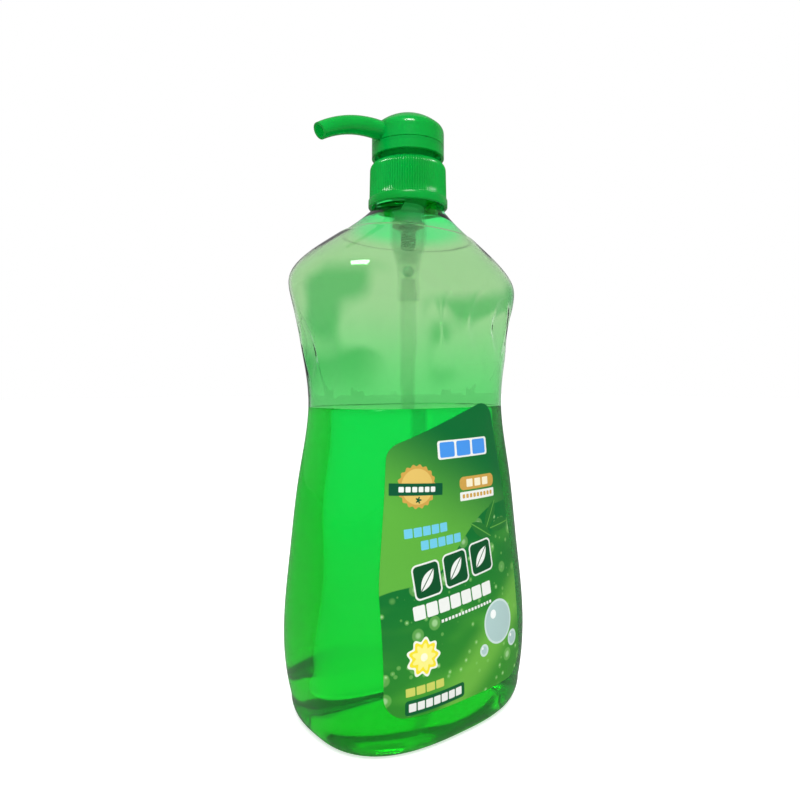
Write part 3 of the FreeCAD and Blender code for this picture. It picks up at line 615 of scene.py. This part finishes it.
def pet():
    return finish(
        "clear_pet",
        bump=ripples(38.0, (1.0, 1.0, 0.35)),
        bump_distance=0.0003,
        Base_Color=pet_tint,
        Roughness=lambda tree: tree.noise(60.0).ramp(0.3, 0.8, 0.01, 0.04),
        IOR=1.46,
        Specular_IOR_Level=0.25,
        Specular_Tint=(0.55, 1.0, 0.6),
        Transmission_Weight=1.0,
    )


def liquid_tint(tree):
    """Lightest at the foot, painted light that offsets the shade where little light gets through, and bluer
    towards the top.
    """
    height = tree.place()[2]
    low = tree.mix(height.ramp(4.0, 44.0), (0.0, 0.98, 0.08), (0.0, 0.90, 0.16))
    return tree.mix(height.ramp(40.0, FILL), low, (0.0, 0.96, 0.30))


def green_liquid():
    return finish(
        "green_liquid",
        Base_Color=liquid_tint,
        Roughness=0.0,
        IOR=1.34,
        Specular_IOR_Level=0.05,
        Transmission_Weight=0.9,
    )


def emerald_tint(tree):
    return tree.mix(tree.noise(30.0).ramp(0.35, 0.7), (0.0, 0.57, 0.065), (0.0, 0.64, 0.090))


def emerald():
    return finish(
        "emerald_cap",
        bump=ripples(240.0),
        bump_distance=0.00002,
        Base_Color=emerald_tint,
        Roughness=lambda tree: tree.noise(90.0).ramp(0.3, 0.7, 0.12, 0.2),
        IOR=1.49,
        Specular_IOR_Level=0.35,
        Transmission_Weight=0.5,
    )


def natural():
    return finish(
        "natural_polymer",
        Base_Color=(0.86, 0.93, 0.86),
        Roughness=lambda tree: tree.noise(120.0).ramp(0.3, 0.7, 0.12, 0.22),
        IOR=1.4,
        Alpha=0.16,
    )


def soft_seal():
    return finish(
        "soft_seal",
        Base_Color=lambda tree: tree.mix(tree.noise(80.0), (0.70, 0.74, 0.70), (0.78, 0.80, 0.76)),
        Roughness=0.55,
        Subsurface_Weight=0.2,
        Subsurface_Scale=0.002,
    )


def steel():
    return finish(
        "spring_steel",
        bump=ripples(900.0, (1.0, 1.0, 4.0)),
        bump_distance=0.00001,
        Base_Color=(0.42, 0.43, 0.45),
        Metallic=1.0,
        Roughness=lambda tree: tree.noise(400.0).ramp(0.2, 0.8, 0.2, 0.4),
    )


def ball_glass():
    return finish(
        "ball_glass",
        Base_Color=(0.75, 0.85, 0.82),
        Roughness=lambda tree: tree.noise(500.0).ramp(0.2, 0.8, 0.02, 0.08),
        IOR=1.5,
        Transmission_Weight=0.7,
    )


WHITE = (0.86, 0.88, 0.84)
DARK_GREEN = (0.0, 0.085, 0.02)
GOLD = (0.62, 0.36, 0.07)
SKY = (0.16, 0.60, 0.80)
BLUE = (0.06, 0.30, 0.82)


class Print:
    """The label's print: simple shapes laid over one another, placed by x and z in millimetres."""

    def __init__(self, tree):
        self.tree = tree
        self.x, self.y, self.z = tree.place()
        self.colour = None

    def lay(self, share, colour):
        self.colour = self.tree.mix(share, self.colour, colour)

    def near(self, x, z, slant=0.0):
        """Distances across and up from a place, on axes that are turned by slant degrees."""
        turn = math.radians(slant)
        across, up = self.x - x, self.z - z
        return across * math.cos(turn) + up * math.sin(turn), up * math.cos(turn) - across * math.sin(turn)

    def disc(self, x, z, radius, blur=0.15):
        across, up = self.near(x, z)
        return (across * across + up * up).math("SQRT").ramp(radius - blur, radius + blur, 1.0, 0.0)

    def bar(self, x, z, half_width, half_height, slant=0.0, rounding=0.5, blur=0.15):
        """A rounded bar: 1 inside and 0 outside."""
        across, up = self.near(x, z, slant)
        beyond_x = (abs(across) - (half_width - rounding)).most(0.0)
        beyond_z = (abs(up) - (half_height - rounding)).most(0.0)
        gap = (beyond_x * beyond_x + beyond_z * beyond_z).math("SQRT")
        return gap.ramp(rounding - blur, rounding + blur, 1.0, 0.0)

    def blocks(self, x, z, count, pitch, half_width, half_height, slant=0.0, rounding=0.4):
        """A row of count equal rounded blocks."""
        across, up = self.near(x, z, slant)
        cell = ((across / pitch + 0.5 * count).math("FRACT") - 0.5) * pitch
        beyond_x = (abs(cell) - (half_width - rounding)).most(0.0)
        beyond_z = (abs(up) - (half_height - rounding)).most(0.0)
        gap = (beyond_x * beyond_x + beyond_z * beyond_z).math("SQRT")
        inside = abs(across).ramp(0.5 * count * pitch - 0.05, 0.5 * count * pitch, 1.0, 0.0)
        return gap.ramp(rounding - 0.12, rounding + 0.12, 1.0, 0.0) * inside

    def leaf(self, x, z, half_length, half_width, slant):
        """A leaf with pointed ends, and the same leaf's middle vein."""
        across, up = self.near(x, z, slant)
        along = across / half_length
        edge = (1.0 - along * along) * half_width
        blade = (abs(up) - edge).ramp(-0.12, 0.12, 1.0, 0.0)
        return blade, blade * abs(up).ramp(0.1, 0.35, 1.0, 0.0)

    def petals(self, x, z, radius, count, depth):
        """A disc whose rim waves in and out count times."""
        across, up = self.near(x, z)
        angle = up.math("ARCTAN2", across)
        rim = (angle * float(count)).math("COSINE") * depth + radius
        return ((across * across + up * up).math("SQRT") - rim).ramp(-0.15, 0.15, 1.0, 0.0)

    def drops(self, scale, size):
        """Round drops scattered over the film: their rims, and the light spot low in each."""
        spot = self.tree.node("ShaderNodeTexCoord", output="Object")
        flat = self.tree.node("ShaderNodeMapping", {"Vector": spot, "Scale": (1.0, 0.0, 1.0)})
        away = self.tree.node("ShaderNodeTexVoronoi", {"Vector": flat, "Scale": scale}, output="Distance")
        return away.ramp(size, size * 0.8), away.ramp(size * 0.6, size * 0.3)


def label_ground(art):
    """Two green fields parted by a wave, with drops and ripples on the lower one."""
    tree = art.tree
    art.colour = tree.mix((art.z + art.x * 0.55).ramp(78.0, 132.0), (0.11, 0.44, 0.045), (0.0, 0.15, 0.03))
    crest = art.x * 0.5 + (art.x * 0.11).math("SINE") * 4.0 + 84.0
    lower = (art.z - crest).ramp(-0.3, 0.3, 1.0, 0.0)
    depths = tree.mix((art.z - art.x * 0.4).ramp(12.0, 90.0), (0.035, 0.30, 0.02), (0.0, 0.17, 0.025))
    art.lay(lower, depths)
    ripples_share = tree.noise(26.0, 1.0, (1.0, 1.0, 2.6)).ramp(0.5, 0.72)
    art.lay(ripples_share * lower * 0.45, (0.10, 0.46, 0.04))
    sweep = art.bar(17.0, 40.0, 38.0, 8.0, slant=38.0, rounding=8.0, blur=6.0)
    art.lay(sweep * lower * 0.6, (0.22, 0.60, 0.07))
    for scale, size in ((95.0, 0.30), (210.0, 0.24)):
        rims, spots = art.drops(scale, size)
        art.lay(rims * lower * 0.35, (0.28, 0.66, 0.16))
        art.lay(spots * lower * 0.5, (0.55, 0.85, 0.45))


def label_print(tree):
    art = Print(tree)
    label_ground(art)
    for x, z, slant in ((19.0, 93.0, 60.0), (26.0, 88.0, 5.0), (12.5, 87.5, 150.0)):
        blade, vein = art.leaf(x, z, 7.5, 2.9, slant)
        art.lay(blade, (0.015, 0.19, 0.025))
        art.lay(vein, (0.12, 0.42, 0.06))
    art.lay(art.bar(4.0, 124.5, 15.0, 4.0, slant=1.0, rounding=1.2), WHITE)
    art.lay(art.blocks(4.0, 124.5, 3, 9.6, 4.2, 3.3, slant=1.0, rounding=0.9), BLUE)
    art.lay(art.petals(-22.0, 110.0, 8.8, 18, 0.4), GOLD)
    art.lay(art.disc(-22.0, 110.0, 7.4), (0.76, 0.52, 0.13))
    art.lay(art.bar(-22.0, 108.8, 12.6, 2.5, slant=-4.0, rounding=0.4), (0.0, 0.10, 0.035))
    art.lay(art.blocks(-22.0, 108.8, 6, 3.0, 1.15, 1.1, slant=-4.0), WHITE)
    art.lay(art.petals(-22.0, 104.4, 1.1, 5, 0.4), (0.0, 0.10, 0.035))
    art.lay(art.bar(11.5, 109.0, 11.0, 2.9, rounding=2.4), GOLD)
    art.lay(art.blocks(11.5, 109.0, 3, 5.0, 1.9, 1.7), (0.93, 0.86, 0.62))
    art.lay(art.bar(11.5, 103.4, 11.0, 1.9, rounding=0.5), WHITE)
    art.lay(art.blocks(11.5, 103.4, 9, 2.2, 0.75, 0.9), GOLD)
    art.lay(art.blocks(-18.5, 91.5, 5, 4.4, 1.9, 1.9, slant=2.0), SKY)
    art.lay(art.blocks(-11.0, 86.0, 5, 4.4, 1.9, 1.9, slant=2.0), SKY)
    for number in range(3):
        x, z = -19.5 + 15.5 * number, 71.5 + 2.2 * number
        art.lay(art.bar(x, z, 6.9, 7.2, slant=6.0, rounding=2.4), WHITE)
        art.lay(art.bar(x, z, 6.2, 6.5, slant=6.0, rounding=1.9), DARK_GREEN)
        blade, vein = art.leaf(x, z, 5.4, 2.3, 52.0)
        art.lay(blade, WHITE)
        art.lay(vein, DARK_GREEN)
    art.lay(art.blocks(-5.5, 60.5, 7, 6.3, 2.8, 2.8, slant=4.0, rounding=0.7), WHITE)
    art.lay(art.blocks(1.0, 54.8, 16, 1.9, 0.65, 0.6, slant=4.0, rounding=0.2), WHITE)
    art.lay(art.petals(-23.5, 41.5, 7.2, 9, 0.8), (0.90, 0.93, 0.80))
    art.lay(art.petals(-23.5, 41.5, 6.2, 9, 0.8), (0.93, 0.78, 0.03))
    art.lay(art.petals(-23.5, 41.5, 4.6, 9, 0.9), (0.97, 0.90, 0.25))
    art.lay(art.disc(-23.5, 41.5, 1.6), (0.97, 0.96, 0.70))
    for x, z, radius in ((20.0, 46.0, 9.6), (30.0, 36.0, 3.6), (9.5, 36.0, 2.6)):
        art.lay(art.disc(x, z, radius), (0.62, 0.78, 0.74))
        art.lay(art.disc(x, z, radius - 0.9), (0.44, 0.62, 0.60))
        art.lay(art.disc(x - 0.35 * radius, z + 0.4 * radius, 0.2 * radius), (0.93, 0.97, 0.95))
    art.lay(art.blocks(-23.0, 29.0, 4, 4.6, 2.0, 1.7, slant=2.0), (0.62, 0.66, 0.12))
    art.lay(art.bar(-17.5, 22.8, 14.6, 3.1, slant=2.0, rounding=1.4), (0.0, 0.12, 0.03))
    art.lay(art.blocks(-17.5, 22.8, 7, 3.8, 1.6, 1.7, slant=2.0), WHITE)
    return art.colour


def printed_film():
    return finish(
        "printed_film",
        bump=ripples(25.0, (1.0, 1.0, 0.5)),
        bump_distance=0.0002,
        Base_Color=label_print,
        Roughness=lambda tree: tree.noise(70.0).ramp(0.3, 0.7, 0.28, 0.38),
        Specular_IOR_Level=0.25,
    )


MATERIALS = {
    "clear_pet": pet(),
    "green_liquid": green_liquid(),
    "printed_film": printed_film(),
    "emerald_cap": emerald(),
    "natural_polymer": natural(),
    "soft_seal": soft_seal(),
    "spring_steel": steel(),
    "ball_glass": ball_glass(),
}

bottle_shell(MATERIALS["clear_pet"])
neck_thread(MATERIALS["clear_pet"])
liquid(MATERIALS["green_liquid"])
label_film(MATERIALS["printed_film"])
closure_cap(MATERIALS["emerald_cap"])
spring_coil(MATERIALS["spring_steel"])

for part in frame["record"]["subparts"]:
    node = frame["nodes"][part["node"]]
    for place in node.material_slots:
        place.material = MATERIALS[part["material_slot"]]


# Studio: pale floor, a white backdrop beyond the bottle, a dimmer room before it and one soft box overhead.
FLOOR_LIFT = 0.66
ROOM_LIGHT = 0.55
GLOSS_DIMMING = 0.7
BACKDROP = (0.62, 0.784)


def soft_box(name, place, aim, size, power):
    light = bpy.data.lights.new(name, "AREA")
    light.shape = "RECTANGLE"
    light.size, light.size_y = size
    light.energy = power
    lamp = bpy.data.objects.new(name, light)
    lamp.location = place
    lamp.rotation_euler = (Vector(aim) - Vector(place)).to_track_quat("-Z", "Y").to_euler()
    bpy.context.scene.collection.objects.link(lamp)


def light_path(tree, *kinds):
    """1 for rays of these kinds and 0 for others."""
    found = [tree.node("ShaderNodeLightPath", output="Is %s Ray" % kind) for kind in kinds]
    share = found[0]
    for other in found[1:]:
        share = share.most(other)
    return share


def floor():
    """Pale paper that keeps the shadow, lifted to white where it is seen directly or through the bottle."""
    bm = bmesh.new()
    bmesh.ops.create_grid(bm, x_segments=1, y_segments=1, size=6.0)
    mesh = bpy.data.meshes.new("floor")
    bm.to_mesh(mesh)
    bm.free()
    plane = bpy.data.objects.new("floor", mesh)
    bpy.context.scene.collection.objects.link(plane)
    paper = finish(
        "floor_paper",
        Base_Color=lambda tree: tree.mix(light_path(tree, "Glossy"), (0.75, 0.75, 0.75), (0.25, 0.25, 0.25)),
        Roughness=0.9,
        Emission_Strength=1.0,
    )
    tree = Tree(paper)
    lift = (FLOOR_LIFT, FLOOR_LIFT, FLOOR_LIFT)
    glow = tree.mix(light_path(tree, "Camera", "Transmission"), (0.0, 0.0, 0.0), lift)
    tree.feed(tree.nodes["Principled BSDF"].inputs["Emission Color"], glow)
    plane.data.materials.append(paper)


def world():
    made = bpy.data.worlds.new("white_surround")
    bpy.context.scene.world = made
    tree = Tree(made)
    background = tree.nodes["Background"]
    spot = tree.node("ShaderNodeTexCoord", output="Generated")
    across, along = [tree.node("ShaderNodeSeparateXYZ", [spot], output=axis) for axis in range(2)]
    behind = (across * BACKDROP[0] + along * BACKDROP[1]).ramp(0.1, 0.5, ROOM_LIGHT, 1.0)
    tree.feed(background.inputs["Color"], (1.0, 1.0, 1.0))
    dimmed = behind * (1.0 - light_path(tree, "Glossy") * GLOSS_DIMMING)
    tree.feed(background.inputs["Strength"], light_path(tree, "Camera", "Transmission").most(dimmed))


floor()
world()
soft_box("key", (-0.44, -0.67, 1.04), (0, 0, 0.15), (0.42, 0.3), 10.0)

# Camera: level, near the bottle, as far round as the photograph shows.
AZIMUTH = math.radians(-38.36)
DISTANCE = 0.300
EYE_HEIGHT = 0.1533
camera_data = bpy.data.cameras.new("camera")
camera_data.sensor_width = 36.0
camera_data.lens = 28.06
camera_data.clip_start = 0.01
camera_data.shift_x = -0.0099
camera_data.shift_y = -0.0218
camera = bpy.data.objects.new("camera", camera_data)
camera.location = (DISTANCE * math.sin(AZIMUTH), -DISTANCE * math.cos(AZIMUTH), EYE_HEIGHT)
camera.rotation_euler = (math.pi / 2, 0.0, AZIMUTH)
bpy.context.scene.collection.objects.link(camera)
bpy.context.scene.camera = camera
bpy.context.scene.view_settings.view_transform = "Standard"
